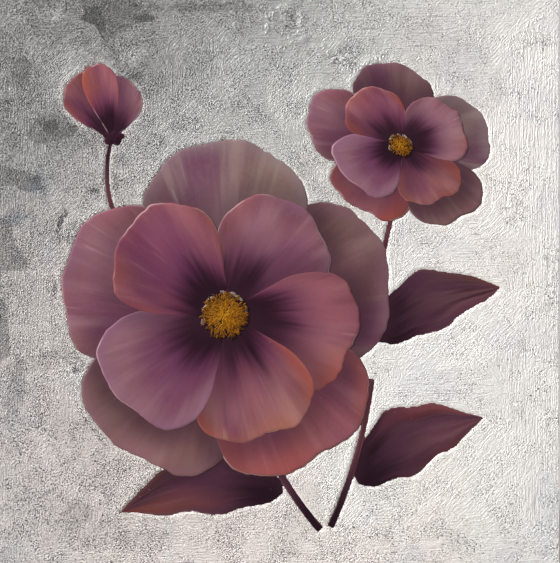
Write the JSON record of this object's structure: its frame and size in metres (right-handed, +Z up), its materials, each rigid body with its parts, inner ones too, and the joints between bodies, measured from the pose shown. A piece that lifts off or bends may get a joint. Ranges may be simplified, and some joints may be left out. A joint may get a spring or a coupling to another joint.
{
  "type": "painted wood panel",
  "caption": "Square cradled wood panel with a silver-leafed gesso ground and a painted spray of open blooms, a bud and leaves, for a wall or a shelf.",
  "frame": {"origin": "middle of the bottom edge, half way between the thickest paint in front and the nail heads behind", "axes": "+Z up along the panel's height, -Y out of the painted face, +X to the right of someone who looks at the painting"},
  "size_m": [0.2, 0.0434, 0.2],
  "materials": {
    "silver_leaf": "silver leaf over brushed gesso, soft satin",
    "mauve_paint": "oil paint, satin",
    "dusk_paint": "oil paint, satin",
    "plum_paint": "oil paint, satin",
    "ochre_paint": "oil paint, thick and satin",
    "birch_ply": "sanded, bare",
    "pine": "sanded, bare",
    "zinc_steel": "zinc plated, pressed"
  },
  "bodies": {
    "root": {"board": "birch_ply", "cradle_bottom": "pine", "cradle_left": "pine", "cradle_right": "pine", "cradle_top": "pine", "ground": "silver_leaf", "hanger": "zinc_steel", "nail_left": "zinc_steel", "nail_right": "zinc_steel", "bloom_large_outer_petals": "dusk_paint", "bloom_large_inner_petals": "mauve_paint", "bloom_large_heart": "plum_paint", "bloom_large_stamens": "ochre_paint", "bloom_small_outer_petals": "dusk_paint", "bloom_small_inner_petals": "mauve_paint", "bloom_small_heart": "plum_paint", "bloom_small_stamens": "ochre_paint", "bud_petals": "mauve_paint", "bud_calyx": "plum_paint", "stem_bud": "plum_paint", "stem_large": "plum_paint", "stem_small_lower": "plum_paint", "stem_small_upper": "plum_paint", "leaf_lower_left": "plum_paint", "leaf_lower_right": "plum_paint", "leaf_upper": "plum_paint"}
  },
  "joints": []
}
